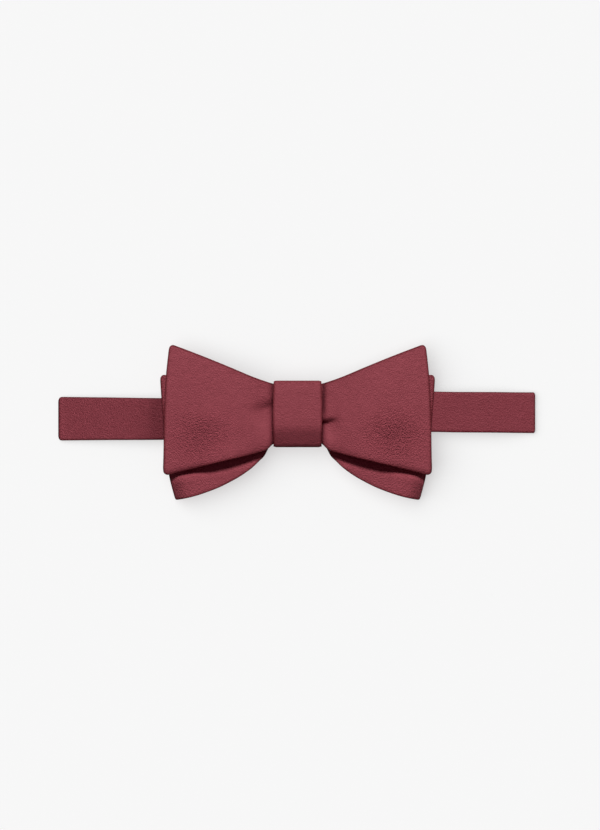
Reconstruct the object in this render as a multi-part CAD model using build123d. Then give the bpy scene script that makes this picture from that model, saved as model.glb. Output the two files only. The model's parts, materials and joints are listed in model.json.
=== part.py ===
from build123d import *
import os

# A pre-tied bow tie lying flat on its back, in millimetres.
# +X runs along the neckband, +Y to the top of the bow, +Z out of its front.
# Two bow layers, each a strip folded into a loop, are gathered by a wrapped knot. The neckband
# runs through the knot and is folded under at both ends. Its two tails carry the clasp: a hook
# on the left tail, and on the right tail an eye and a three-bar slider that sets the length.
# The origin is on the surface that it lies on, under the middle of the whole outline.

# Driving dimensions
KNOT_Y = 4.09           # height of the knot's middle above the middle of the outline
FOLD_X = 106.0          # from the knot's middle to each fold line of the neckband
STRAP_T = 0.7           # the band: two plies of satin with a ribbon core
STRAP_CORE_T = 0.3
CORE_INSET = 0.6        # from the band's edge to the edge of its core
LEFT_STRAP_Y, LEFT_STRAP_W = -1.9, 18.2
RIGHT_STRAP_Y, RIGHT_STRAP_W = 0.9, 17.8
TAIL_W = 17.8           # width of the band at the clasp
STRAP_LIFT = 4.9        # underside of the front strap, so that the slider can pass below it
FOLD_GAP = 0.8          # inside height of the pressed folds
TAIL_GAP = 0.3          # from the fold line to the start of a tail
SATIN_T, CORE_T = 0.35, 0.6     # bow satin and its interlining
BOW_T = 2 * SATIN_T + CORE_T    # one wall of a bow loop
WAIST_T = 3.6           # height that each bow layer is gathered to in the knot
KNOT_W, KNOT_H = 22.0, 29.4
WRAP_T = 0.45           # the knot's satin, and also its interlining
FIT = 0.05              # play between cloth and metal
LAYER_GAP = 0.1         # play between stacked cloth layers

# Stitching
TACK_R, TACK_XS = 0.4, (-3.0, 3.0)      # thread through the gathered bows
TACK_HOLE_R = TACK_R + 0.05
THREAD = 0.3

# Clasp
WIRE_R = 0.5            # round bars that the hook and the eye turn on
PLATE_T = 0.8
METAL_W, SLOT_W = 22.4, 18.8
EYE_X, HOOK_X, SLIDER_X = 14.0, -16.0, 32.0
SLIDER_L, OUTER_BAR, CENTRE_BAR = 13.0, 1.8, 2.0
WEAVE_REACH = 10.0      # from the slider's middle to where the strap is flat again
SEWN_TAB = 4.6          # sewn strap end beyond the weave
HOOK_TAB = 13.0         # strap end folded back from the hook
TONGUE_W = 7.0

# Heights that follow from them
PLY = STRAP_T + FIT     # from one strap ply to the next
TAIL_MID = STRAP_T / 2
STRAP_MID = STRAP_LIFT + STRAP_T / 2
FOLD_R = (STRAP_T + FOLD_GAP) / 2
FOLD_Z = TAIL_MID + FOLD_R
FOLD_TOP_MID = FOLD_Z + FOLD_R
REAR_BASE = STRAP_LIFT + STRAP_T + LAYER_GAP
FRONT_BASE = REAR_BASE + WAIST_T + LAYER_GAP
KNOT_BASE = STRAP_LIFT - FIT
KNOT_TOP = FRONT_BASE + WAIST_T + LAYER_GAP
BAR_Z = STRAP_T + FIT + WIRE_R
TURN_R = WIRE_R + FIT + STRAP_T / 2
SLIDER_BASE = 2 * PLY
SLIDER_MID = SLIDER_BASE + PLATE_T / 2
OVER_BAR_MID = SLIDER_BASE + PLATE_T + FIT + STRAP_T / 2


def save(name, shape):
    """Writes one sub-part, moved from the knot's height to the row frame."""
    export_step(Pos(0, KNOT_Y, 0) * shape, f"parts/{name}.step")


def block(x0, x1, y0, y1, z0, z1):
    """A box between two corners."""
    return Pos(x0, y0, z0) * Box(x1 - x0, y1 - y0, z1 - z0, align=(Align.MIN,) * 3)


def plan(points, radii):
    """A plan outline with the given corner radii, cut through the full height."""
    return extrude(make_face(FilletPolyline(*points, radius=radii, close=True)), 40)


def along_y(face, width, y):
    """A section in X and Z pushed along Y to a width, centred on y."""
    return Pos(0, y + width / 2, 0) * extrude(Plane.XZ * face, width)


def ribbon(points, radii, width, y, thickness=STRAP_T):
    """A strap of constant thickness along a path of (x, z) points."""
    path = FilletPolyline(*points, radius=radii)
    return along_y(trace(path, line_width=thickness), width, y)


def half_turn(x, z, radius, side, width, y):
    """Strap turned round a bar at (x, z), on the +X side of it for side 1, or -X for -1."""
    ring = Circle(radius + STRAP_T / 2) - Circle(radius - STRAP_T / 2)
    half = ring & (Pos(side * 5, 0) * Rectangle(10, 10))
    return along_y(Pos(x, z) * half, width, y)


# Bow layers ------------------------------------------------------------------------------

def loop_section(grow, reach, back, waist, belly, end):
    """A folded strip in X and Z: its mid line, grown by `grow`. Heights are of the mid line:
    the back wall, and the front wall at the waist, at the belly and at the fold."""
    right = [(12.0, waist), (34.0, belly), (reach, end), (reach, back)]
    left = [(-x, z) for x, z in reversed(right)]
    fold_r = (end - back) / 2 - 0.02
    radii = [18.0, 60.0, fold_r, fold_r]
    face = make_face(FilletPolyline(*right, *left, radius=radii + radii[::-1], close=True))
    return offset(face, amount=grow)


def leaning(face, slope):
    """A section pushed along Y so that its right fold leans by `slope`; the left mirrors it."""
    depth = 90.0
    start = Pos(-slope * depth / 2, -depth / 2, 0) * (Plane.XZ * face)
    right = extrude(start, amount=depth, dir=(slope, 1, 0)) & block(0, 80, -60, 60, 0, 40)
    return right + mirror(right, about=Plane.YZ)


def bow_layers(name, silhouette, slope, reach, heights):
    """Face satin, interlining and lining of one bow layer: three nested loops."""
    edges = [BOW_T / 2, CORE_T / 2, -CORE_T / 2, -BOW_T / 2]
    solids = [leaning(loop_section(edge, reach, *heights), slope) for edge in edges]
    for i, wall in enumerate(["face", "interlining", "lining"]):
        loop = (solids[i] - solids[i + 1]) & silhouette
        for x in TACK_XS:
            loop -= Pos(x, 0, 0) * Cylinder(TACK_HOLE_R, 80)
        save(f"{name}_{wall}", loop)


def front_bow():
    """Upper layer: straight edges that flare from the waist to slanting folds."""
    right = [(12.0, 13.0), (56.4, 31.2), (60.6, -28.4), (25.9, -19.8), (12.0, -13.2)]
    left = [(-x, y) for x, y in reversed(right)]
    radii = [6.0, 2.2, 3.2, 40.0, 6.0]
    silhouette = plan(right + left, radii + radii[::-1])
    middle = FRONT_BASE + BOW_T / 2
    heights = (middle + 0.75, middle + WAIST_T - BOW_T, middle + 4.6, middle + 4.0)
    bow_layers("front_bow", silhouette, -0.064, 57.8, heights)


def rear_bow():
    """Lower layer: it droops, and its lower edge is one convex sweep to a sharp corner."""
    waist, corner, shoulder, top = (12.3, -12.6), (54.0, -38.4), (61.9, 15.2), (59.4, 17.1)
    edges = [ThreePointArc(waist, (32.9, -30.9), corner), Line(corner, shoulder),
             ThreePointArc(shoulder, (61.4, 16.8), top), Line(top, (12.3, 12.6)),
             Polyline((12.3, 12.6), (0, 12.6), (0, -12.6), waist)]
    right = extrude(make_face(Curve() + edges), 40)
    middle = REAR_BASE + BOW_T / 2
    heights = (middle, middle + WAIST_T - BOW_T, middle + 3.0, middle + 2.8)
    bow_layers("rear_bow", right + mirror(right, about=Plane.YZ), 0.131, 58.3, heights)


def bow_tack():
    """Two thread pillars through every layer of the gathered middle."""
    height = FRONT_BASE + WAIST_T - REAR_BASE
    pillars = [Pos(x, 0, REAR_BASE + height / 2) * Cylinder(TACK_R, height) for x in TACK_XS]
    return Compound(children=pillars)


# Knot ------------------------------------------------------------------------------------

def knot_sleeve(inside, outside):
    """One ply of the knot's wrap: a rounded sleeve round X, between two offsets."""
    width, height = KNOT_H - 4 * WRAP_T, KNOT_TOP - KNOT_BASE
    middle = Plane(origin=(-KNOT_W / 2, 0, KNOT_BASE + height / 2), x_dir=(0, 1, 0),
                   z_dir=(1, 0, 0))
    outer, inner = [extrude(middle * RectangleRounded(width + 2 * grow, height + 2 * grow,
                                                      0.6 + grow), KNOT_W)
                    for grow in (outside, inside)]
    return outer - inner


def closing_stitches():
    """Whip stitches across the wrap's seam, on its back."""
    count, pitch, length = 7, 2.6, 2.2
    z = KNOT_BASE - 2 * WRAP_T - THREAD / 2
    stitches = [Pos(0, (i - (count - 1) / 2) * pitch, z) * Box(length, THREAD, THREAD)
                for i in range(count)]
    return Compound(children=stitches)


# Neckband --------------------------------------------------------------------------------

def front_strap(thickness, inset):
    """The band's front layer: level behind the bow, and down to the fold at each end."""
    flat, foot, lean = 88.0, 103.0, 45.0
    points = [(-FOLD_X, FOLD_TOP_MID), (-foot, FOLD_TOP_MID), (-flat, STRAP_MID),
              (flat, STRAP_MID), (foot, FOLD_TOP_MID), (FOLD_X, FOLD_TOP_MID)]
    strip = ribbon(points, [12.0, 20.0, 20.0, 12.0], 60.0, 0, thickness)
    left, right = LEFT_STRAP_W / 2 - inset, RIGHT_STRAP_W / 2 - inset
    outline = [(-120, LEFT_STRAP_Y + left), (-lean, LEFT_STRAP_Y + left),
               (lean, RIGHT_STRAP_Y + right), (120, RIGHT_STRAP_Y + right),
               (120, RIGHT_STRAP_Y - right), (lean, RIGHT_STRAP_Y - right),
               (-lean, LEFT_STRAP_Y - left), (-120, LEFT_STRAP_Y - left)]
    return strip & plan(outline, [0, 60, 60, 0, 0, 60, 60, 0])


def fold(side, y, width):
    """The band's pressed fold at one end, and the short run that reaches its tail."""
    turn = half_turn(FOLD_X, FOLD_Z, FOLD_R, 1, width, y)
    run = block(FOLD_X - TAIL_GAP, FOLD_X, y - width / 2, y + width / 2, 0, STRAP_T)
    whole = turn + run
    return whole if side > 0 else mirror(whole, about=Plane.YZ)


def left_tail(thickness, inset):
    """The hook's tail. It drifts sideways so that the hook meets the eye."""
    start = -FOLD_X + TAIL_GAP
    wide, narrow = LEFT_STRAP_W / 2 - inset, TAIL_W / 2 - inset
    outline = [(start, LEFT_STRAP_Y + wide), (-98.0, LEFT_STRAP_Y + wide),
               (-40.0, RIGHT_STRAP_Y + narrow), (HOOK_X, RIGHT_STRAP_Y + narrow),
               (HOOK_X, RIGHT_STRAP_Y - narrow), (-40.0, RIGHT_STRAP_Y - narrow),
               (-98.0, LEFT_STRAP_Y - wide), (start, LEFT_STRAP_Y - wide)]
    slab = plan(outline, [0, 60, 60, 0, 0, 60, 60, 0]) & block(-120, 0, -30, 30, 0, thickness)
    return Pos(0, 0, (STRAP_T - thickness) / 2) * slab


def right_tail(thickness, inset):
    """The eye's tail, from its fold to the slider's weave."""
    half, low = RIGHT_STRAP_W / 2 - inset, (STRAP_T - thickness) / 2
    return block(SLIDER_X + WEAVE_REACH, FOLD_X - TAIL_GAP, RIGHT_STRAP_Y - half,
                 RIGHT_STRAP_Y + half, low, low + thickness)


def sleeve_and_core(name, strap):
    """A strap's satin sleeve and the ribbon core in it, as two sub-parts."""
    core = strap(STRAP_CORE_T, CORE_INSET)
    save(name, strap(STRAP_T, 0) - core)
    save(f"{name}_core", core)


def hook_strap_end():
    """The left tail's end: round the hook's bar, back over the tail."""
    path = [(HOOK_X, BAR_Z + TURN_R), (HOOK_X - 1.5, BAR_Z + TURN_R),
            (HOOK_X - 4.5, TAIL_MID + PLY), (HOOK_X - HOOK_TAB, TAIL_MID + PLY)]
    flap = ribbon(path, [2.0, 2.0], TAIL_W, RIGHT_STRAP_Y)
    return flap + half_turn(HOOK_X, BAR_Z, TURN_R, 1, TAIL_W, RIGHT_STRAP_Y)


# Slider and the strap through it ---------------------------------------------------------

def slider():
    """Three-bar slider: a plate with two slots and its centre bar between them."""
    slot = (SLIDER_L - 2 * OUTER_BAR - CENTRE_BAR) / 2
    face = RectangleRounded(SLIDER_L, METAL_W, 1.8)
    for side in (-1, 1):
        face -= Pos(side * (CENTRE_BAR + slot) / 2, 0) * RectangleRounded(slot, SLOT_W, 0.5)
    return Pos(SLIDER_X, RIGHT_STRAP_Y, SLIDER_BASE) * extrude(face, PLATE_T)


def slider_weave():
    """The standing strap through the slider: over the outer bars, under the centre bar."""
    half = [(2.0, TAIL_MID), (4.2, OVER_BAR_MID), (6.7, OVER_BAR_MID), (8.6, TAIL_MID),
            (WEAVE_REACH, TAIL_MID)]
    path = [(SLIDER_X - x, z) for x, z in reversed(half)] + [(SLIDER_X + x, z) for x, z in half]
    radii = [0.6, 0.5, 0.5, 0.4]
    return ribbon(path, radii + radii[::-1], TAIL_W, RIGHT_STRAP_Y)


def slider_strap_end():
    """The sewn end of the strap: in over the weave, round the centre bar and back."""
    turn_r = PLATE_T / 2 + FIT + STRAP_T / 2
    turn_x = SLIDER_X + CENTRE_BAR / 2
    upper = [(-WEAVE_REACH, TAIL_MID + 2 * PLY), (-9.4, TAIL_MID + 2 * PLY),
             (-7.5, OVER_BAR_MID + 2 * PLY), (-3.2, OVER_BAR_MID + 2 * PLY),
             (-1.2, SLIDER_MID + turn_r), (CENTRE_BAR / 2, SLIDER_MID + turn_r)]
    lower = [(CENTRE_BAR / 2, SLIDER_MID - turn_r), (-1.15, SLIDER_MID - turn_r),
             (-3.65, OVER_BAR_MID + PLY), (-7.1, OVER_BAR_MID + PLY),
             (-9.0, TAIL_MID + PLY), (-WEAVE_REACH - SEWN_TAB, TAIL_MID + PLY)]
    plies = [ribbon([(SLIDER_X + x, z) for x, z in points], 0.45, TAIL_W, RIGHT_STRAP_Y)
             for points in (upper, lower)]
    turn = half_turn(turn_x, SLIDER_MID, turn_r, 1, TAIL_W, RIGHT_STRAP_Y)
    return plies[0] + plies[1] + turn


def loop_lower_ply():
    """Standing strap between the slider and the eye."""
    return block(EYE_X, SLIDER_X - WEAVE_REACH, RIGHT_STRAP_Y - TAIL_W / 2,
                 RIGHT_STRAP_Y + TAIL_W / 2, 0, STRAP_T)


def loop_upper_ply():
    """Returning strap between the eye and the slider."""
    path = [(EYE_X, BAR_Z + TURN_R), (EYE_X + 2.0, BAR_Z + TURN_R),
            (EYE_X + 4.0, TAIL_MID + 2 * PLY), (SLIDER_X - WEAVE_REACH, TAIL_MID + 2 * PLY)]
    return ribbon(path, [4.0, 4.0], TAIL_W, RIGHT_STRAP_Y)


# Hook and eye ----------------------------------------------------------------------------

def forked_plate(bar_x, side, length, bridge):
    """Flat stamping whose two arms hold a round strap bar at bar_x. It reaches `length` from
    the bar towards `side`, and its fork ends `bridge` from the bar."""
    arm_end = 0.7
    x0, x1 = sorted((bar_x - side * arm_end, bar_x + side * length))
    outline = Pos((x0 + x1) / 2, 0) * RectangleRounded(x1 - x0, METAL_W, 2.2)
    fork = Pos(bar_x + side * (bridge - 10), 0) * Rectangle(20, SLOT_W)
    plate = Pos(0, 0, BAR_Z - PLATE_T / 2) * extrude(outline - fork, PLATE_T)
    bar = Pos(bar_x, 0, BAR_Z) * Rot(90, 0, 0) * Cylinder(WIRE_R, SLOT_W + 2.0)
    return plate + bar


def eye():
    """The clasp's eye, with the slot that takes the hook's tongue."""
    slot = Pos(EYE_X - 8.7, 0, 0) * extrude(RectangleRounded(5.4, 11.0, 1.0), 10)
    return Pos(0, RIGHT_STRAP_Y, 0) * (forked_plate(EYE_X, -1, 13.4, 4.2) - slot)


def hook():
    """The clasp's hook: its narrow tongue curls up and back."""
    start, tip = HOOK_X + 8.0, HOOK_X + 14.4
    curl = [(start, BAR_Z), (tip, BAR_Z), (tip, BAR_Z + 1.65), (tip - 4.2, BAR_Z + 1.65)]
    tongue = ribbon(curl, [0.82, 0.82], TONGUE_W, 0, PLATE_T)
    return Pos(0, RIGHT_STRAP_Y, 0) * (forked_plate(HOOK_X, 1, 8.7, 4.3) + tongue)


# Stitches and label ----------------------------------------------------------------------

def stitch_rows(xs, y, z, width, count):
    """Rows of short stitches across a strap, lying on it at height z."""
    pitch = width / count
    stitches = [Pos(x, y + (i - (count - 1) / 2) * pitch, z + THREAD / 2)
                * Box(THREAD, pitch * 0.7, THREAD) for x in xs for i in range(count)]
    return Compound(children=stitches)


def label():
    """A blank woven label on the neck side of the left tail, and the rows that hold it."""
    x0, x1, half, thickness = -76.0, -54.0, 5.0, 0.25
    y, z = -0.6, STRAP_T
    save("size_label", block(x0, x1, y - half, y + half, z, z + thickness))
    rows = stitch_rows((x0 + 1, x1 - 1), y, z + thickness, 2 * half - 1, 6)
    save("label_stitches", rows)


def main():
    os.makedirs("parts", exist_ok=True)
    front_bow()
    rear_bow()
    save("bow_tack_thread", bow_tack())
    save("knot_interlining", knot_sleeve(0, WRAP_T))
    save("knot_wrap", knot_sleeve(WRAP_T, 2 * WRAP_T))
    save("knot_closing_stitches", closing_stitches())
    sleeve_and_core("neckband_front", front_strap)
    save("left_fold", fold(-1, LEFT_STRAP_Y, LEFT_STRAP_W))
    save("right_fold", fold(1, RIGHT_STRAP_Y, RIGHT_STRAP_W))
    sleeve_and_core("left_tail", left_tail)
    save("hook_strap_end", hook_strap_end())
    flap_x, flap_top = HOOK_X - HOOK_TAB, TAIL_MID + PLY + STRAP_T / 2
    save("hook_bar_tack", stitch_rows((flap_x + 1.2, flap_x + 3.6), RIGHT_STRAP_Y, flap_top,
                                      TAIL_W - 1.4, 9))
    save("hook", hook())
    sleeve_and_core("right_tail", right_tail)
    save("slider", slider())
    save("slider_weave", slider_weave())
    save("slider_strap_end", slider_strap_end())
    tab_x, tab_top = SLIDER_X - WEAVE_REACH, TAIL_MID + 2 * PLY + STRAP_T / 2
    save("slider_bar_tack", stitch_rows((tab_x - 3.2, tab_x - 1.0), RIGHT_STRAP_Y, tab_top,
                                        TAIL_W - 1.4, 9))
    save("loop_lower_ply", loop_lower_ply())
    save("loop_upper_ply", loop_upper_ply())
    save("eye_turn", half_turn(EYE_X, BAR_Z, TURN_R, -1, TAIL_W, RIGHT_STRAP_Y))
    save("eye", eye())
    label()


main()
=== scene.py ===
# A pre-tied satin bow tie lying flat on its back, seen from straight above.
# Lengths are millimetres, counted from the middle of the knot in X and Y and from the surface
# that the tie lies on in Z. build() turns them into the frame's metres.
import json
import math

import bmesh
import bpy
import numpy as np
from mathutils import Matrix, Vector, noise

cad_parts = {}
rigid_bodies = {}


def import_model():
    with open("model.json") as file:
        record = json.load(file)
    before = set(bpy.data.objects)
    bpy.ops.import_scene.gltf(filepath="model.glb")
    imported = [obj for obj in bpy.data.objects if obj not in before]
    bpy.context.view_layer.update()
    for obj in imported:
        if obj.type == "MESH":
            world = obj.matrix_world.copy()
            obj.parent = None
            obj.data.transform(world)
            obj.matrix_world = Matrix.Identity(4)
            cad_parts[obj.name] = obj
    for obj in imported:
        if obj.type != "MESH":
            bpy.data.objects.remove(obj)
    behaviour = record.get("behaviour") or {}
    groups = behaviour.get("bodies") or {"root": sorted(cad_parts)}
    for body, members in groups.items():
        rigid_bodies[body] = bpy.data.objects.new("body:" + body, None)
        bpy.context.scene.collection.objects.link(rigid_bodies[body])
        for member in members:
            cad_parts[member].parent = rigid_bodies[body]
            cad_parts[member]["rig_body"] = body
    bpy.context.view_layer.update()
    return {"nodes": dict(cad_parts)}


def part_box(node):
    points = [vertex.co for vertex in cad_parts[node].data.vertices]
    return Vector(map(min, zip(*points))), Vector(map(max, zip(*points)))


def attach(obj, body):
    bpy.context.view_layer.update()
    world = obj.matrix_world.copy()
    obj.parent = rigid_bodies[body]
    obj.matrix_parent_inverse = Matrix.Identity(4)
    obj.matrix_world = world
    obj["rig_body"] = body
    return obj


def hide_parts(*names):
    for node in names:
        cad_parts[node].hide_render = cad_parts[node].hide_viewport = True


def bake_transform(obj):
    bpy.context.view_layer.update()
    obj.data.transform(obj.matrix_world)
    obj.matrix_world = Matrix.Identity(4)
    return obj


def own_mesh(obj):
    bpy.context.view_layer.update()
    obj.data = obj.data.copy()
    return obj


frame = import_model()
MM = 0.001
KNOT_BOX = [np.array(corner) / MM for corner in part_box("knot_wrap")]
ORIGIN = np.array([(KNOT_BOX[0][0] + KNOT_BOX[1][0]) / 2, (KNOT_BOX[0][1] + KNOT_BOX[1][1]) / 2, 0])


def box(node):
    """A CAD node's lowest and highest corner in the script's millimetres."""
    return [np.array(corner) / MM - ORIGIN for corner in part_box(node)]


# Cloth
BOW_T = 0.8             # one wall of a bow: satin, interlining and lining pressed together
WRAP_T = 0.9            # knot wrap with its turned edges
STRAP_T = float(np.ptp([corner[2] for corner in box("right_tail")]))
HEM = 0.75              # share of the thickness left where a strip's edge is pressed
FOLD_DEPTH = 0.6        # how far a bow's end fold bulges
BOW_REACH = 58.0        # about how far a bow reaches from the knot's middle
EDGE_SHADE_WIDTH = 0.45        # width of the painted shade along an edge where the cloth turns over

# Neckband
STRAP_MID = box("neckband_front")[1][2] - STRAP_T / 2
TAIL_MID = STRAP_T / 2
FOLD_TOP_MID = box("left_fold")[1][2] - STRAP_T / 2
FOLD_R = (FOLD_TOP_MID - TAIL_MID) / 2
LEFT_SLOPE = (63.0, 105.0)      # where each front layer of the band goes down to its fold
RIGHT_SLOPE = (88.0, 104.0)
RIGHT_Y = float(np.mean([corner[1] for corner in box("right_fold")]))
TAIL_W = float(np.ptp([corner[1] for corner in box("eye_turn")]))

# Clasp
HOOK_X = box("left_tail")[1][0]
EYE_X = box("eye_turn")[1][0]
BAR_Z = float(np.mean([corner[2] for corner in box("eye_turn")]))
TURN_R = (box("eye_turn")[1][2] - box("eye_turn")[0][2] - STRAP_T) / 2
SLIDER_X = float(np.mean([corner[0] for corner in box("slider")]))
SLIDER_MID = float(np.mean([corner[2] for corner in box("slider")]))
PLY = 0.75              # from one strap ply to the next

# Bows, from the back wall of each
REAR_BACK = box("rear_bow_face")[0][2] + BOW_T / 2
FRONT_BACK = REAR_BACK + 3.3
WAIST_X = box("knot_wrap")[1][0]
OPEN = 9.0              # headroom of a bow outside the knot


# Shape helpers ---------------------------------------------------------------------------

def unit(vectors):
    return vectors / np.maximum(np.linalg.norm(vectors, axis=-1, keepdims=True), 1e-9)


def step(low, high, value):
    """0 below low, 1 above high, and a smooth rise between them."""
    t = np.clip((value - low) / (high - low), 0, 1)
    return t * t * (3 - 2 * t)


def near(distance, width):
    """1 at an edge, falling to 0 over about `width` millimetres from it."""
    return np.exp(-(np.maximum(distance, 0) / width)**2)


def curve(points, x):
    """A smooth curve through (x, y) points, read at x, and straight beyond its ends."""
    px, py = np.array(points, float).T
    secant = np.diff(py) / np.diff(px)
    slope = np.concatenate([secant[:1], (secant[:-1] + secant[1:]) / 2, secant[-1:]])
    i = np.clip(np.searchsorted(px, x) - 1, 0, len(px) - 2)
    width = px[i + 1] - px[i]
    t = (x - px[i]) / width
    c = np.clip(t, 0, 1)
    inside = ((2 * c**3 - 3 * c**2 + 1) * py[i] + (c**3 - 2 * c**2 + c) * width * slope[i]
              + (3 * c**2 - 2 * c**3) * py[i + 1] + (c**3 - c**2) * width * slope[i + 1])
    return inside + (t - c) * width * np.where(t > 1, slope[i + 1], slope[i])


def ripple(x, y, size, seed):
    """Soft random relief between about -1 and 1, with waves about `size` long."""
    x, y = np.broadcast_arrays(x, y)
    flat = [noise.noise(Vector((a / size, b / size, seed))) for a, b in zip(x.ravel(), y.ravel())]
    return np.array(flat).reshape(x.shape)


def rounded(points, radii, spacing=0.5):
    """A polyline with tangent arcs at its inner corners, as evenly spaced points."""
    points = [np.array(p, float) for p in points]
    line = [points[0]]
    for before, corner, after, r in zip(points, points[1:], points[2:], radii):
        a, b = unit(before - corner), unit(after - corner)
        half = math.acos(float(np.clip(a @ b, -1, 1))) / 2
        centre = corner + unit(a + b) * r / math.sin(half)
        start, end = (corner + d * r / math.tan(half) for d in (a, b))
        turn = math.pi - 2 * half
        for t in np.linspace(0, 1, max(2, int(turn * r / 0.12) + 2)):
            arm = ((start - centre) * math.sin((1 - t) * turn)
                   + (end - centre) * math.sin(t * turn)) / math.sin(turn)
            line.append(centre + arm)
    line.append(points[-1])
    line = np.array(line)
    length = np.concatenate([[0], np.cumsum(np.linalg.norm(np.diff(line, axis=0), axis=1))])
    keep = np.concatenate([[True], np.diff(length) > 1e-4])
    line, length = line[keep], length[keep]
    extra = np.arange(0, length[-1], spacing)
    at = np.unique(np.concatenate([length, extra]).round(4))
    at = at[np.concatenate([[True], np.diff(at) > 0.02])]
    return np.stack([np.interp(at, length, line[:, i]) for i in range(line.shape[1])], axis=1)


def build(name, points, faces, uvs, material):
    """A smooth mesh object from millimetre points, with a UV map in millimetres along the cloth."""
    mesh = bpy.data.meshes.new(name)
    mesh.from_pydata(((points + ORIGIN) * MM).tolist(), [], faces)
    layer = mesh.uv_layers.new(name="cloth")
    loops = np.zeros(len(mesh.loops), int)
    mesh.loops.foreach_get("vertex_index", loops)
    layer.data.foreach_set("uv", uvs[loops].ravel())
    mesh.polygons.foreach_set("use_smooth", [True] * len(mesh.polygons))
    mesh.materials.append(material)
    obj = bpy.data.objects.new(name, mesh)
    bpy.context.scene.collection.objects.link(obj)
    return obj


def strip(name, mid, thickness, material, closed=False, edge_shade=0.0, crush=0.0, arc=5):
    """A strip of cloth with rounded edges, from a grid of mid-surface points (along, across).
    Over the same grid, the edge mask is 1 where painted shade darkens the edges and `crush` is 1
    where it is crumpled."""
    if closed:
        along = np.roll(mid, -1, axis=0) - np.roll(mid, 1, axis=0)
    else:
        along = np.gradient(mid, axis=0)
    normal = unit(np.cross(along, np.gradient(mid, axis=1)))
    half = (np.broadcast_to(thickness, mid.shape[:2]) / 2)[..., None]
    angles = np.linspace(math.pi / 2, -math.pi / 2, arc + 2)[1:-1]
    rims = []
    for edge, inner, side in ((-1, -2, 1), (0, 1, -1)):
        outward = unit(mid[:, edge] - mid[:, inner])
        rims.append(np.stack([mid[:, edge] + half[:, edge] * (math.cos(a) * outward
                              + math.sin(a) * side * normal[:, edge]) for a in angles], axis=1))
    rings = np.concatenate([mid + normal * half, rims[0], (mid - normal * half)[:, ::-1],
                            rims[1]], axis=1)
    count, ring = rings.shape[:2]
    faces = [(u * ring + k, ((u + 1) % count) * ring + k,
              ((u + 1) % count) * ring + (k + 1) % ring, u * ring + (k + 1) % ring)
             for u in range(count if closed else count - 1) for k in range(ring)]
    if not closed:
        faces += [tuple(range(ring)), tuple(range(count * ring - 1, (count - 1) * ring - 1, -1))]
    run = np.linalg.norm(np.diff(mid[:, mid.shape[1] // 2], axis=0), axis=1)
    along_uv = np.concatenate([[0], np.cumsum(run)])
    across = np.linalg.norm(np.diff(rings, axis=1, append=rings[:, :1]), axis=2)
    across_uv = np.concatenate([np.zeros((count, 1)), np.cumsum(across, axis=1)[:, :-1]], axis=1)
    uvs = np.stack([np.repeat(along_uv, ring), across_uv.ravel()], axis=1)
    obj = build(name, rings.reshape(-1, 3), faces, uvs, material)
    normals_out(obj)
    # The edge mask carries painted shade along the cloth's turned edges.
    for label, grid, at_edge in (("edge_shade", edge_shade, 1.0), ("crush", crush, 0.0)):
        grid = np.broadcast_to(grid, mid.shape[:2])
        arcs = np.full((count, arc), at_edge)
        values = np.concatenate([grid, arcs, grid[:, ::-1], arcs], axis=1)
        attribute = obj.data.attributes.new(label, "FLOAT", "POINT")
        attribute.data.foreach_set("value", values.ravel().astype(np.float32))
    return obj


def normals_out(obj):
    """Turns every face outward."""
    bm = bmesh.new()
    bm.from_mesh(obj.data)
    bmesh.ops.recalc_face_normals(bm, faces=bm.faces)
    bm.to_mesh(obj.data)
    bm.free()


def ribbon(name, path, y_mid, half_width, thickness, material, ends=None, across=31):
    """A flat strap along an (x, z) path. y_mid and half_width may be arrays along the path,
    and `ends` is each path point's distance from a pressed end."""
    v = np.sin(np.linspace(-math.pi / 2, math.pi / 2, across))[None, :]
    half_width = np.broadcast_to(half_width, len(path))[:, None] - thickness / 4
    y = np.broadcast_to(y_mid, len(path))[:, None] + half_width * v
    x, z = (np.repeat(path[:, i:i + 1], across, axis=1) for i in (0, 1))
    edge = half_width * (1 - np.abs(v))
    distance = edge if ends is None else np.minimum(edge, ends[:, None])
    # painted shade along the strap's edges and its pressed ends
    return strip(name, np.stack([x, y, z], axis=2), thickness * (1 - 0.5 * near(edge, 0.4)),
                 material, edge_shade=near(distance, EDGE_SHADE_WIDTH))


# Materials -------------------------------------------------------------------------------

def new_material(name):
    """A material with its node tree and its Principled shader."""
    material = bpy.data.materials.new(name)
    material.use_nodes = True
    nodes = material.node_tree.nodes
    return material, nodes, material.node_tree.links, nodes["Principled BSDF"]


def mapped(nodes, links, scale, coordinates="Object"):
    """Texture coordinates stretched by scale (per metre, or per millimetre of cloth UV)."""
    source = nodes.new("ShaderNodeTexCoord")
    mapping = nodes.new("ShaderNodeMapping")
    mapping.inputs["Scale"].default_value = scale
    links.new(source.outputs[coordinates], mapping.inputs["Vector"])
    return mapping.outputs["Vector"]


def noise_texture(nodes, links, vector, scale, detail=2.0, roughness=0.5):
    texture = nodes.new("ShaderNodeTexNoise")
    texture.inputs["Scale"].default_value = scale
    texture.inputs["Detail"].default_value = detail
    texture.inputs["Roughness"].default_value = roughness
    links.new(vector, texture.inputs["Vector"])
    return texture.outputs["Fac"]


def bump(nodes, links, height, distance, strength, below=None):
    """A bump of `distance` metres, laid over the bump `below`."""
    node = nodes.new("ShaderNodeBump")
    node.inputs["Distance"].default_value = distance
    node.inputs["Strength"].default_value = strength
    links.new(height, node.inputs["Height"])
    if below:
        links.new(below, node.inputs["Normal"])
    return node.outputs["Normal"]


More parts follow.
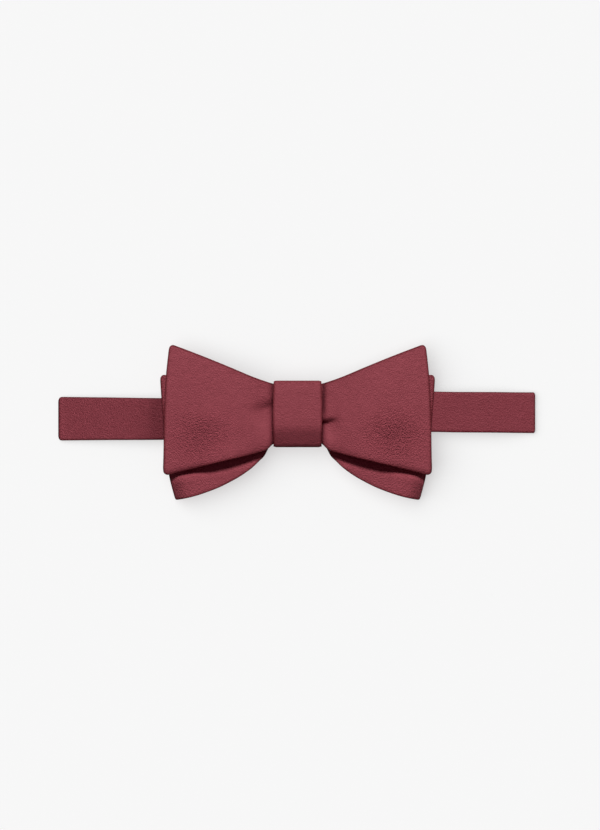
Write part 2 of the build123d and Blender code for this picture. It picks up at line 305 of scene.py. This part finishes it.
def tint(nodes, links, attribute, colour, factor):
    """A mesh attribute, and `colour` multiplied by `factor` where that attribute is 1."""
    amount = nodes.new("ShaderNodeAttribute")
    amount.attribute_name = attribute
    mix = nodes.new("ShaderNodeMix")
    mix.data_type = "RGBA"
    mix.blend_type = "MULTIPLY"
    mix.inputs["B"].default_value = factor
    links.new(amount.outputs["Fac"], mix.inputs["Factor"])
    links.new(colour, mix.inputs["A"])
    return amount.outputs["Fac"], mix.outputs["Result"]


def satin(name, dark, light, specular=0.3):
    """Matte satin: a fine weave under crepe-like micro wrinkles, uneven in colour, with painted
    shade along its edges. Crumpled cloth wrinkles more and is a little paler."""
    material, nodes, links, shader = new_material(name)
    shader.inputs["Roughness"].default_value = 0.58
    shader.inputs["Specular IOR Level"].default_value = specular
    shader.inputs["Specular Tint"].default_value = (1.0, 0.5, 0.55, 1)
    shader.inputs["Sheen Weight"].default_value = 0.05
    shader.inputs["Sheen Roughness"].default_value = 0.4
    shader.inputs["Sheen Tint"].default_value = (0.9, 0.35, 0.4, 1)
    space = mapped(nodes, links, (1, 1, 1))
    cloth = mapped(nodes, links, (1, 1, 1), "UV")
    stretched = mapped(nodes, links, (1.25, 0.8, 1))
    ramp = nodes.new("ShaderNodeValToRGB")
    for stop, place, colour in zip(ramp.color_ramp.elements, (0.3, 0.7), (dark, light)):
        stop.position = place
        stop.color = (*colour, 1)
    links.new(noise_texture(nodes, links, space, 420.0, 3.0, 0.6), ramp.inputs["Fac"])
    crush, paler = tint(nodes, links, "crush", ramp.outputs["Color"], (1.24, 1.24, 1.24, 1))
    # painted shade: the colour is darkened along the edges where the cloth turns over
    shaded_edges = tint(nodes, links, "edge_shade", paler, (0.55, 0.42, 0.42, 1))[1]
    links.new(shaded_edges, shader.inputs["Base Color"])
    weave = nodes.new("ShaderNodeTexWave")
    weave.wave_type = "BANDS"
    weave.bands_direction = "DIAGONAL"
    weave.inputs["Scale"].default_value = 1.4
    weave.inputs["Distortion"].default_value = 1.5
    links.new(cloth, weave.inputs["Vector"])
    patches = nodes.new("ShaderNodeMapRange")
    for key, value in (("From Min", 0.35), ("From Max", 0.65), ("To Min", 0.27), ("To Max", 0.34)):
        patches.inputs[key].default_value = value
    links.new(noise_texture(nodes, links, space, 40.0), patches.inputs["Value"])
    crumple = nodes.new("ShaderNodeMath")
    crumple.operation = "MULTIPLY_ADD"
    crumple.inputs[1].default_value = 0.5
    links.new(crush, crumple.inputs[0])
    links.new(patches.outputs["Result"], crumple.inputs[2])
    soft = bump(nodes, links, noise_texture(nodes, links, space, 150.0), 0.0006, 0.3)
    crepe = bump(nodes, links, noise_texture(nodes, links, stretched, 1900.0), 0.0030, 1.0, soft)
    links.new(crumple.outputs["Value"], crepe.node.inputs["Strength"])
    grain = bump(nodes, links, noise_texture(nodes, links, space, 3200.0), 0.00012, 0.9, crepe)
    fine = bump(nodes, links, weave.outputs["Fac"], 0.00002, 0.5, grain)
    links.new(fine, shader.inputs["Normal"])
    return material


def plain_weave(name, dark, light, threads):
    """An over-and-under weave of a given number of threads per millimetre."""
    material, nodes, links, shader = new_material(name)
    shader.inputs["Roughness"].default_value = 0.8
    cloth = mapped(nodes, links, (threads, threads, threads), "UV")
    checker = nodes.new("ShaderNodeTexChecker")
    checker.inputs["Scale"].default_value = 1.0
    links.new(cloth, checker.inputs["Vector"])
    fuzz = noise_texture(nodes, links, mapped(nodes, links, (1, 1, 1)), 2500.0)
    ramp = nodes.new("ShaderNodeValToRGB")
    ramp.color_ramp.elements[0].color = (*dark, 1)
    ramp.color_ramp.elements[1].color = (*light, 1)
    links.new(fuzz, ramp.inputs["Fac"])
    links.new(ramp.outputs["Color"], shader.inputs["Base Color"])
    links.new(bump(nodes, links, checker.outputs["Fac"], 0.00006, 0.5), shader.inputs["Normal"])
    return material


def nickel(name):
    """Nickel-plated steel with faint brush marks and handling wear."""
    material, nodes, links, shader = new_material(name)
    shader.inputs["Metallic"].default_value = 1.0
    shader.inputs["Base Color"].default_value = (0.62, 0.60, 0.57, 1)
    brushed = noise_texture(nodes, links, mapped(nodes, links, (4000, 200, 4000)), 1.0, 4.0)
    smudge = noise_texture(nodes, links, mapped(nodes, links, (1, 1, 1)), 300.0)
    blend = nodes.new("ShaderNodeMapRange")
    blend.inputs["To Min"].default_value = 0.2
    blend.inputs["To Max"].default_value = 0.42
    links.new(smudge, blend.inputs["Value"])
    links.new(blend.outputs["Result"], shader.inputs["Roughness"])
    links.new(bump(nodes, links, brushed, 0.00002, 0.35), shader.inputs["Normal"])
    return material


SATIN = satin("satin", (0.208, 0.0408, 0.0530), (0.235, 0.0472, 0.0610))
# The band's satin is the bow's satin painted darker: painted shade, which also offsets the side and
# fill lamps that reach only the bands.
SHADED_BAND_SATIN = satin("band_satin_shaded", (0.115, 0.0200, 0.0270), (0.130, 0.0232, 0.0312), 0.25)
THREAD = plain_weave("thread", (0.12, 0.02, 0.028), (0.2, 0.04, 0.05), 3.0)
LABEL = plain_weave("label", (0.62, 0.60, 0.56), (0.74, 0.72, 0.68), 4.0)
METAL = nickel("nickel")


# Bows ------------------------------------------------------------------------------------

def bow(name, shape, walls, across=61):
    """A strip folded into a flat loop. `shape` gives its lower, upper and outer edges as
    curves and its corner radii. `walls` gives the heights of its back and front walls."""
    bend = np.linspace(0, math.pi, 17)[1:-1]
    turn = FOLD_DEPTH / BOW_REACH
    flat = np.linspace(-1 + turn, 1 - turn, 260)
    s = np.concatenate([flat, 1 - turn + turn * np.sin(bend), flat[::-1],
                        -1 + turn - turn * np.sin(bend)])[:, None]
    front = np.concatenate([np.ones(len(flat)), (1 + np.cos(bend)) / 2, np.zeros(len(flat)),
                            (1 - np.cos(bend)) / 2])[:, None]
    v = 0.5 - 0.5 * np.cos(np.linspace(0, math.pi, across))[None, :]
    reach = curve(shape["outer"], v) - BOW_T / 2
    x = s * reach
    edges = []
    for key, side, column in (("lower", 1, 0), ("upper", -1, -1)):
        end, r = reach[0, column], shape["radii"][key]
        q = np.clip((np.abs(s) * end - (end - r)) / r, 0, 1)
        edges.append(curve(shape[key], np.abs(s) * end)
                     + side * (BOW_T * HEM / 2 + r * (1 - np.sqrt(1 - q**2))))
    y = edges[0] * (1 - v) + edges[1] * v
    inside = {"lower": y - edges[0], "upper": edges[1] - y, "outer": reach - np.abs(x)}
    low, high = walls(x, y, inside)
    mid = np.stack([x, y, low + (high - low) * front], axis=2)
    nearest = np.minimum(inside["lower"], inside["upper"])
    thickness = BOW_T * (1 - (1 - HEM) * near(nearest, 0.7))
    # painted shade along the bow's edges and its end folds
    edge_shade = near(np.minimum(nearest, inside["outer"] - 0.1), EDGE_SHADE_WIDTH)
    crush = shape["crush"](np.abs(x), y)
    obj = strip(name, mid, thickness, SATIN, closed=True, edge_shade=edge_shade, crush=crush)
    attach(obj, "bow_and_band")
    return obj


def furrow(x, y, start, end, steep, gentle, depth):
    """A dent from start to end that fades out at end: steep on its upper side, gentle below."""
    start, end = np.array(start), np.array(end)
    length = np.linalg.norm(end - start)
    dx, dy = (end - start) / length
    along = ((x - start[0]) * dx + (y - start[1]) * dy) / length
    off = (y - start[1]) * abs(dx) - (x - start[0]) * dy * np.sign(dx)
    fade = (1 - step(0.2, 1.0, along)) * step(-0.6, 0.0, along)
    return -depth * fade * np.exp(-(off / np.where(off > 0, steep, gentle))**2)


# Outlines of the two bows: the lower and upper edge over x, the end fold over the share of the
# width, and how crumpled the cloth is. x is the distance from the knot's middle.
FRONT = {
    "lower": [(0, -12.4), (11.0, -13.5), (13.6, -15.8), (19.0, -17.7), (34.4, -21.5),
              (60.2, -27.9)],
    "upper": [(0, 12.4), (11.0, 13.7), (15.0, 14.9), (20.0, 16.7), (30.0, 20.9), (40.0, 25.0),
              (50.0, 28.9), (57.3, 31.6)],
    "outer": [(0, 60.5), (0.12, 60.3), (0.48, 60.0), (0.77, 59.2), (1, 57.9)],
    "radii": {"lower": 2.3, "upper": 2.1},
    "crush": lambda a, y: (np.exp(-((a - 43) / 13)**2 - ((y + 9) / 8.5)**2)
                           + 0.25 * np.exp(-((a - 45) / 15)**2 - ((y + 19) / 6)**2)
                           + 0.08 * step(0, 18, y) * step(20, 45, a)),
}
REAR = {
    "lower": [(0, -12.2), (11.0, -12.8), (12.5, -14.4), (15.0, -18.9), (17.0, -20.9),
              (20.0, -23.8), (25.0, -27.5), (30.0, -30.4), (35.0, -32.9), (40.0, -34.9),
              (45.0, -36.6), (50.0, -37.9), (55.5, -38.9)],
    "upper": [(0, 12.4), (12.0, 12.8), (61.6, 17.8)],
    "outer": [(0, 55.4), (0.2, 58.0), (0.81, 61.2), (1, 61.9)],
    "radii": {"lower": 0.9, "upper": 1.6},
    "crush": lambda a, y: 0.3 + 0 * a * y,
}


def front_walls(x, y, inside):
    """Heights of the front bow's back and front walls: pinched at the knot, full over the
    belly, flat at its folds. `inside` holds the distances from its edges."""
    a = np.abs(x)
    outer = step(36, 46, a)
    belly = curve([(0, -0.6), (WAIST_X, -0.6), (11.9, 1.5), (13.0, 2.45), (16, 2.8), (22, 2.95),
                   (33, 2.95), (45, 2.1), (53, 1.3), (58, BOW_T + 0.1), (62, BOW_T + 0.1)], a)
    crown = 0.35 * step(15, 25, a) * (1 - ((y - 1) / 26)**2) * (1 - step(42, 56, a))
    tucked = 0.35 * (1 - step(36, 44, a)) * np.clip(1 - inside["lower"] / 3.6, 0, 1)**2
    tucked += 0.45 * (1 - step(18, 25, a)) * np.clip(1 - inside["lower"] / 6.0, 0, 1)**1.5
    rolled = 0.65 * outer * np.clip(1 - inside["lower"] / 2.6, 0, 1)**2
    lifted = 0.15 * np.clip(1 - inside["upper"] / 2.0, 0, 1)**2
    hollow = np.exp(-((a - 41) / 10)**2 - ((y + 6) / 6.5)**2) * (y + 6) * 0.045
    flare = 0.65 * np.clip((-8 - y) / 12, 0, 1.2)**1.4 * step(22, 32, a) * (1 - 0.85 * outer)
    lean = 1.5 * np.clip((y - 3) / 26, 0, 1.2)**1.4 * step(18, 38, a)
    creases = (furrow(x, y, (-10.8, 3.0), (-24.0, -0.6), 3.0, 9.0, 1.6)
               + furrow(x, y, (10.8, -4.4), (21.0, -2.4), 1.25, 7.0, 2.0))
    gap = 1.9 * np.exp(-((x - 11.5) / 0.9)**2) * step(-3, 2, y)
    drift = 0.08 * ripple(x, y, 9.0, 3.1) + 0.3 * ripple(a, y, 24.0, 7.7) * step(12, 22, a)
    full = FRONT_BACK + belly + crown + hollow + flare + lifted + creases + drift
    high = full - lean - tucked - rolled - gap
    under_wrap = knot_top(np.clip(y, -13, 13)) - (WRAP_T + BOW_T) / 2 - 0.4
    high = np.minimum(high, under_wrap + OPEN * step(WAIST_X, WAIST_X + 2, a))
    low = np.minimum(FRONT_BACK, high - BOW_T - 0.05)
    return low + 0 * y, high


def rear_walls(x, y, inside):
    """The same for the rear bow: it dips where the front bow's lower edge lies over it."""
    a = np.abs(x)
    low = REAR_BACK + 0 * y - 0.3
    under = curve(FRONT["lower"], a) - y
    end = step(38, 50, a)
    rise = (0.9 + 0.4 * end) * step(1.6 - 0.8 * end, 6.0 - 2.0 * end, under) * step(15, 22, a)
    curl = 2.0 * np.clip(1 - inside["outer"] / 6.0, 0, 1)**2
    droop = 4.2 * step(47, 60, a) * np.clip((-27 - y) / 11, 0, 1.2)**1.2
    low = low - droop
    high = REAR_BACK + 2.1 + rise - curl - droop + 0.1 * ripple(a, y, 10.0, 12.4)
    waist = 7.6 - 0.03 * np.abs(y)
    high = np.minimum(high, waist + 3 * step(WAIST_X, WAIST_X + 2.5, a))
    return low, np.maximum(high, low + BOW_T + 0.05)


# Knot ------------------------------------------------------------------------------------

KNOT_TOP = box("knot_wrap")[1][2] + 0.1
FACE_Y = 13.2           # half the height of the wrap's face, up to its turns
FACE = [(-FACE_Y, -2.95), (-12, -2.4), (-10, -1.54), (-7.5, -0.58), (-5.5, -0.13),
        (-3.5, -0.01), (0, 0), (6, -0.1), (11, -0.3), (FACE_Y, -0.5)]
LOWER_TURN, UPPER_TURN = -14.5, 14.55


def knot_top(y):
    """Height of the middle of the wrap's front: level, then steeper and steeper below."""
    return KNOT_TOP + curve(FACE, y)


def knot():
    """The wrap round the gathered middle."""
    base = box("knot_wrap")[0][2] + WRAP_T / 2
    face_y = np.linspace(FACE_Y, -FACE_Y, 120)
    foot, head = knot_top(-FACE_Y), knot_top(FACE_Y)
    back = rounded([(-FACE_Y, foot), (LOWER_TURN, foot - 0.9), (LOWER_TURN, base),
                    (UPPER_TURN, base), (UPPER_TURN, head - 0.1), (FACE_Y, head)],
                   [0.5, 1.2, 1.2, 0.7], 0.3)
    back = back[np.linalg.norm(back - (FACE_Y, head), axis=1) > 0.1]
    path = np.concatenate([np.stack([face_y, knot_top(face_y)], axis=1), back[1:]])
    y, z = path[:, :1], path[:, 1:]
    v = np.sin(np.linspace(-math.pi / 2, math.pi / 2, 61))[None, :]
    width = curve([(-15, 10.8), (0, 11.1), (15, 10.7)], y) - WRAP_T / 4
    x = width * v
    front = step(base + 2, KNOT_TOP - 4, z)
    gathers = 0.06 * ripple(x * 3.0, y * 0.4, 9.0, 21.0) + 0.05 * ripple(x, y, 5.0, 5.0)
    edge = width - np.abs(x)
    mid = np.stack([x, y + 0 * x, z + front * (gathers - 0.3 * near(edge, 0.9))], axis=2)
    turned = np.minimum(14.5 - y, y + 14.45)
    # painted shade along the wrap's side edges and its turns
    edge_shade = near(np.minimum(edge, np.maximum(turned, 0)), EDGE_SHADE_WIDTH)
    obj = strip("knot", mid, WRAP_T * (1 - 0.5 * near(edge, 0.6)), SATIN, closed=True, edge_shade=edge_shade)
    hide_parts("knot_wrap", "knot_interlining")
    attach(obj, "bow_and_band")
    return obj


# Neckband --------------------------------------------------------------------------------

def band(name, side, reach, end_x, slope, centres, halves, corner):
    """Half of the band: its front layer from inside the knot, one fold and the start of its
    tail. `centres` and `halves` are curves over |x| for the front layer and the tail."""
    out = reach - STRAP_T / 2
    points = [(0, STRAP_MID), (slope[0], STRAP_MID), (slope[1], FOLD_TOP_MID),
              (out, FOLD_TOP_MID), (out, TAIL_MID), (end_x, TAIL_MID)]
    path = rounded(points, [20.0, 12.0, FOLD_R, FOLD_R])
    tail = path[:, 1] < (FOLD_TOP_MID + TAIL_MID) / 2
    x = path[:, 0]
    middle = np.where(tail, curve(centres["tail"], x), curve(centres["front"], x))
    half = np.where(tail, curve(halves["tail"], x), curve(halves["front"], x))
    q = np.clip((x - (out - corner)) / corner, 0, 1)
    half = half - corner * (1 - np.sqrt(1 - np.minimum(q, 0.98)**2))
    wobble = 0.12 * np.array([noise.noise(Vector((a / 13, side * 5.0, 0.4))) for a in x])
    obj = ribbon(name, path * (side, 1), middle + wobble, half, STRAP_T, SHADED_BAND_SATIN, out - x)
    return obj


def strap(name, points, radii, replaced, body=None, middle=None):
    """A strap along (x, z) points. `middle` is a curve over x for its middle line."""
    path = rounded(points, radii, 0.4)
    y_mid = curve(middle, path[:, 0]) if middle else RIGHT_Y
    obj = ribbon(name, path, y_mid, TAIL_W / 2, STRAP_T, SHADED_BAND_SATIN)
    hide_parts(*replaced)
    if body:
        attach(obj, body)
    return obj


def bevelled(name, node, width):
    """A metal piece of the clasp with its edges rounded, as a stamping has after plating."""
    source = frame["nodes"][node]
    obj = bpy.data.objects.new(name, source.data.copy())
    bpy.context.scene.collection.objects.link(obj)
    obj.data.materials.clear()
    obj.data.materials.append(METAL)
    obj.data.polygons.foreach_set("use_smooth", [True] * len(obj.data.polygons))
    weld = obj.modifiers.new("weld", "WELD")
    weld.merge_threshold = 1e-6
    flat = obj.modifiers.new("flat", "DECIMATE")
    flat.decimate_type = "DISSOLVE"
    flat.angle_limit = math.radians(1)
    edge = obj.modifiers.new("edge", "BEVEL")
    edge.width = width * MM
    edge.segments = 3
    edge.limit_method = "ANGLE"
    edge.angle_limit = math.radians(40)
    even = obj.modifiers.new("even", "WEIGHTED_NORMAL")
    even.weight = 100
    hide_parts(node)
    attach(obj, source["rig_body"])


def islands(node):
    """The lowest and highest corner of each separate solid in a CAD node."""
    bm = bmesh.new()
    bm.from_mesh(frame["nodes"][node].data)
    bmesh.ops.remove_doubles(bm, verts=bm.verts, dist=1e-6)
    left, found = set(bm.verts), []
    while left:
        todo, part = [left.pop()], []
        while todo:
            vert = todo.pop()
            part.append(np.array(vert.co) / MM - ORIGIN)
            for other in [edge.other_vert(vert) for edge in vert.link_edges]:
                if other in left:
                    left.remove(other)
                    todo.append(other)
        found.append((np.min(part, axis=0), np.max(part, axis=0)))
    bm.free()
    return sorted(found, key=lambda pair: tuple(pair[0].round(3)))


def stitches(name, node, outward):
    """Rounded, slightly sprung thread stitches in place of a CAD node's plain ones."""
    points, faces, uvs = [], [], []
    swing = np.linspace(-math.pi / 2, math.pi / 2, 15)
    around = 8
    sides = np.linspace(0, 2 * math.pi, around, endpoint=False)
    for low, high in islands(node):
        centre, size = (low + high) / 2, high - low
        long = int(np.argmax(size[:2]))
        base = len(points)
        for a in swing:
            radius = size[2] / 2 * math.sqrt(1 - 0.9 * abs(math.sin(a))**6)
            for b in sides:
                point = centre.copy()
                point[long] += math.sin(a) * size[long] / 2
                point[1 - long] += radius * math.cos(b)
                point[2] += radius * math.sin(b) + outward * 0.08 * math.cos(a)
                points.append(point)
                uvs.append((math.sin(a) * size[long] / 2 + b / 6, b / 6))
        rows = [base + i * around for i in range(len(swing))]
        faces += [(row + k, row + (k + 1) % around, row + around + (k + 1) % around,
                   row + around + k) for row in rows[:-1] for k in range(around)]
        faces.append(tuple(range(rows[0], rows[0] + around)))
        faces.append(tuple(range(rows[-1] + around - 1, rows[-1] - 1, -1)))
    obj = build(name, np.array(points), faces, np.array(uvs), THREAD)
    normals_out(obj)
    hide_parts(node)
    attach(obj, frame["nodes"][node]["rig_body"])


# The tie ---------------------------------------------------------------------------------

front_bow = bow("front_bow", FRONT, front_walls)
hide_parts("front_bow_face", "front_bow_interlining", "front_bow_lining")
rear_bow = bow("rear_bow", REAR, rear_walls)
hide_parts("rear_bow_face", "rear_bow_interlining", "rear_bow_lining")
knot_wrap = knot()

TAIL_HALF = TAIL_W / 2
left_band = band(
    "left_band", -1, 108.0, -HOOK_X, LEFT_SLOPE,
    {"front": [(55, -2.2), (107, -2.1)],
     "tail": [(-HOOK_X, RIGHT_Y), (38, RIGHT_Y), (62, -2.1), (80, -2.2), (107, -2.1)]},
    {"front": [(55, 9.35), (107, 9.85)],
     "tail": [(-HOOK_X, TAIL_HALF), (38, TAIL_HALF), (62, 9.1), (107, 9.8)]}, 1.3)
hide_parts("left_tail", "left_tail_core", "left_fold")
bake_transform(left_band)

TAIL_START = box("right_tail")[1][0]
right_band = band(
    "right_band", 1, 107.25, TAIL_START, RIGHT_SLOPE,
    {"front": [(55, 1.05), (107, 0.55)], "tail": [(55, 0.6), (107, 0.55)]},
    {"front": [(55, 9.1), (107, 9.2)], "tail": [(55, 9.1), (107, 9.15)]}, 0.6)
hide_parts("neckband_front", "neckband_front_core", "right_fold")
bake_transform(right_band)

TAIL_END = box("right_tail")[0][0] + 0.05      # just clear of the ply woven into the slider
eye_strap = strap("eye_strap", [(TAIL_START, TAIL_MID), (TAIL_END, TAIL_MID)], [],
                  ["right_tail", "right_tail_core"], "eye_tail",
                  [(TAIL_END, RIGHT_Y), (62, 0.75), (TAIL_START, 0.57)])
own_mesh(eye_strap)

# The clasp's straps
HOOK_TOP = BAR_Z + TURN_R + STRAP_T / 2
HOOK_OUT = HOOK_X + TURN_R + STRAP_T / 2
FLAP_Z = TAIL_MID + PLY
hook_strap = strap(
    "hook_strap",
    [(HOOK_X, TAIL_MID), (HOOK_OUT, TAIL_MID), (HOOK_OUT, HOOK_TOP),
     (HOOK_X - 1.5, HOOK_TOP), (HOOK_X - 4.5, FLAP_Z), (box("hook_strap_end")[0][0], FLAP_Z)],
    [0.88, 0.88, 3.0, 3.0], ["hook_strap_end"], "hook_tail")

LOOP_END = box("slider_weave")[0][0]
LOOP_TOP_Z = TAIL_MID + 2 * PLY
TURN_OUT = box("eye_turn")[0][0] + STRAP_T / 2
eye_loop = strap(
    "eye_loop",
    [(LOOP_END, TAIL_MID), (TURN_OUT, TAIL_MID), (TURN_OUT, HOOK_TOP), (EYE_X + 2, HOOK_TOP),
     (EYE_X + 4, LOOP_TOP_Z), (LOOP_END, LOOP_TOP_Z)],
    [0.88, 0.88, 3.0, 3.0], ["loop_lower_ply", "loop_upper_ply", "eye_turn"])
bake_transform(eye_loop)

OVER = SLIDER_MID + 0.8     # a ply lying on the slider's outer bars
UNDER = TAIL_MID
weave = strap(
    "slider_weave",
    [(SLIDER_X + x, z) for x, z in
     [(-10, UNDER), (-8.6, UNDER), (-6.7, OVER), (-4.2, OVER), (-2, UNDER),
      (2, UNDER), (4.2, OVER), (6.7, OVER), (8.6, UNDER), (10, UNDER)]],
    [0.9] * 8, ["slider_weave"], "slider_body")
strap_end = strap(
    "slider_strap_end",
    [(SLIDER_X + x, UNDER + z) for x, z in
     [(-10, 1.5), (-9.4, 1.5), (-7.5, 3.85), (-3.2, 3.85), (-1.2, 2.35), (1.8, 2.35), (1.8, 0.75),
      (-1.15, 0.75), (-3.65, 3.1), (-7.1, 3.1), (-9, 0.75), (-14.6, 0.75)]],
    [0.6, 0.9, 0.9, 0.9, 0.79, 0.79, 0.7, 0.9, 0.9, 0.9], ["slider_strap_end"], "slider_body")

bevelled("hook_metal", "hook", 0.12)
bevelled("eye_metal", "eye", 0.12)
bevelled("slider_metal", "slider", 0.15)
for node, outward in (("knot_closing_stitches", -1), ("hook_bar_tack", 1), ("slider_bar_tack", 1),
                      ("label_stitches", 1)):
    stitches(node + "_thread", node, outward)

LABEL_BOX = box("size_label")
label_z = (LABEL_BOX[0][2] + LABEL_BOX[1][2]) / 2
label = ribbon("blank_label", rounded([(LABEL_BOX[0][0], label_z), (LABEL_BOX[1][0], label_z)], []),
               (LABEL_BOX[0][1] + LABEL_BOX[1][1]) / 2, (LABEL_BOX[1][1] - LABEL_BOX[0][1]) / 2,
               LABEL_BOX[1][2] - LABEL_BOX[0][2], LABEL)
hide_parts("size_label")
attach(label, "hook_tail")

tack = frame["nodes"]["bow_tack_thread"]
tack.data.materials.clear()
tack.data.materials.append(THREAD)


# Floor, light and camera -----------------------------------------------------------------

def white_floor():
    """A pale surface under the tie that shows only to the camera, and only from above."""
    size = 4.0
    mesh = bpy.data.meshes.new("floor")
    mesh.from_pydata([(-size, -size, 0), (size, -size, 0), (size, size, 0), (-size, size, 0)], [],
                     [(0, 1, 2, 3)])
    obj = bpy.data.objects.new("floor", mesh)
    obj.location.z = -0.00005
    bpy.context.scene.collection.objects.link(obj)
    obj.visible_diffuse = obj.visible_glossy = obj.visible_transmission = obj.visible_shadow = False
    material, nodes, links, shader = new_material("paper")
    shader.inputs["Base Color"].default_value = (0.9, 0.9, 0.9, 1)
    shader.inputs["Roughness"].default_value = 0.9
    shader.inputs["Specular IOR Level"].default_value = 0.0
    glow = nodes.new("ShaderNodeEmission")
    glow.inputs["Color"].default_value = (0.94, 0.94, 0.94, 1)
    lit = nodes.new("ShaderNodeMixShader")
    lit.inputs["Fac"].default_value = 0.55
    links.new(shader.outputs["BSDF"], lit.inputs[1])
    links.new(glow.outputs["Emission"], lit.inputs[2])
    clear = nodes.new("ShaderNodeBsdfTransparent")
    side = nodes.new("ShaderNodeNewGeometry")
    one_sided = nodes.new("ShaderNodeMixShader")
    links.new(side.outputs["Backfacing"], one_sided.inputs["Fac"])
    links.new(lit.outputs["Shader"], one_sided.inputs[1])
    links.new(clear.outputs["BSDF"], one_sided.inputs[2])
    links.new(one_sided.outputs["Shader"], nodes["Material Output"].inputs["Surface"])
    mesh.materials.append(material)
    return obj


def sun(name, toward, strength, angle):
    """A soft distant light that comes from the direction `toward`."""
    data = bpy.data.lights.new(name, "SUN")
    data.energy = strength
    data.angle = math.radians(angle)
    obj = bpy.data.objects.new(name, data)
    obj.rotation_euler = Vector(toward).to_track_quat("Z", "Y").to_euler()
    bpy.context.scene.collection.objects.link(obj)
    return obj


def shine(light, objects, link_state="INCLUDE"):
    """Keeps a light on these objects only, or off them."""
    group = bpy.data.collections.new(light.name + "_reach")
    for entry, obj in enumerate(objects):
        group.objects.link(obj)
        group.collection_objects[entry].light_linking.link_state = link_state
    light.light_linking.receiver_collection = group


floor = white_floor()
KEY_HEIGHT = math.radians(42)
shine(sun("key", (0.0, math.cos(KEY_HEIGHT), math.sin(KEY_HEIGHT)), 4.4, 17), [floor], "EXCLUDE")
shine(sun("side", (1.0, 0.1, 0.58), 3.4, 34), [left_band])
shine(sun("fill", (0.25, 0.8, 0.75), 2.6, 30), [right_band])
shine(sun("overhead", (-0.6, 0.2, 1.0), 3.18, 80), [floor])
shine(sun("under", (0.2, -0.3, -1.0), 1.5, 60), [floor], "EXCLUDE")
world = bpy.data.worlds.new("studio")
world.use_nodes = True
world.node_tree.nodes["Background"].inputs["Color"].default_value = (1.0, 1.0, 1.0, 1)
world.node_tree.nodes["Background"].inputs["Strength"].default_value = 0.17
scene = bpy.context.scene
scene.world = world
scene.view_settings.view_transform = "Standard"
scene.view_settings.use_curve_mapping = True
scene.view_settings.curve_mapping.black_level = (0.003, 0.003, 0.003)

camera_data = bpy.data.cameras.new("camera")
camera_data.lens = 200
camera_data.sensor_width = 36
PICTURE_CENTRE = (1.1, -0.45)
PICTURE_HEIGHT = 373.5
PICTURE_PLANE = 7.0     # height at which the picture's scale holds
camera = bpy.data.objects.new("camera", camera_data)
distance = PICTURE_HEIGHT * camera_data.lens / camera_data.sensor_width
camera.location = (ORIGIN + (*PICTURE_CENTRE, PICTURE_PLANE + distance)) * MM
camera_data.clip_end = 10
scene.collection.objects.link(camera)
scene.camera = camera
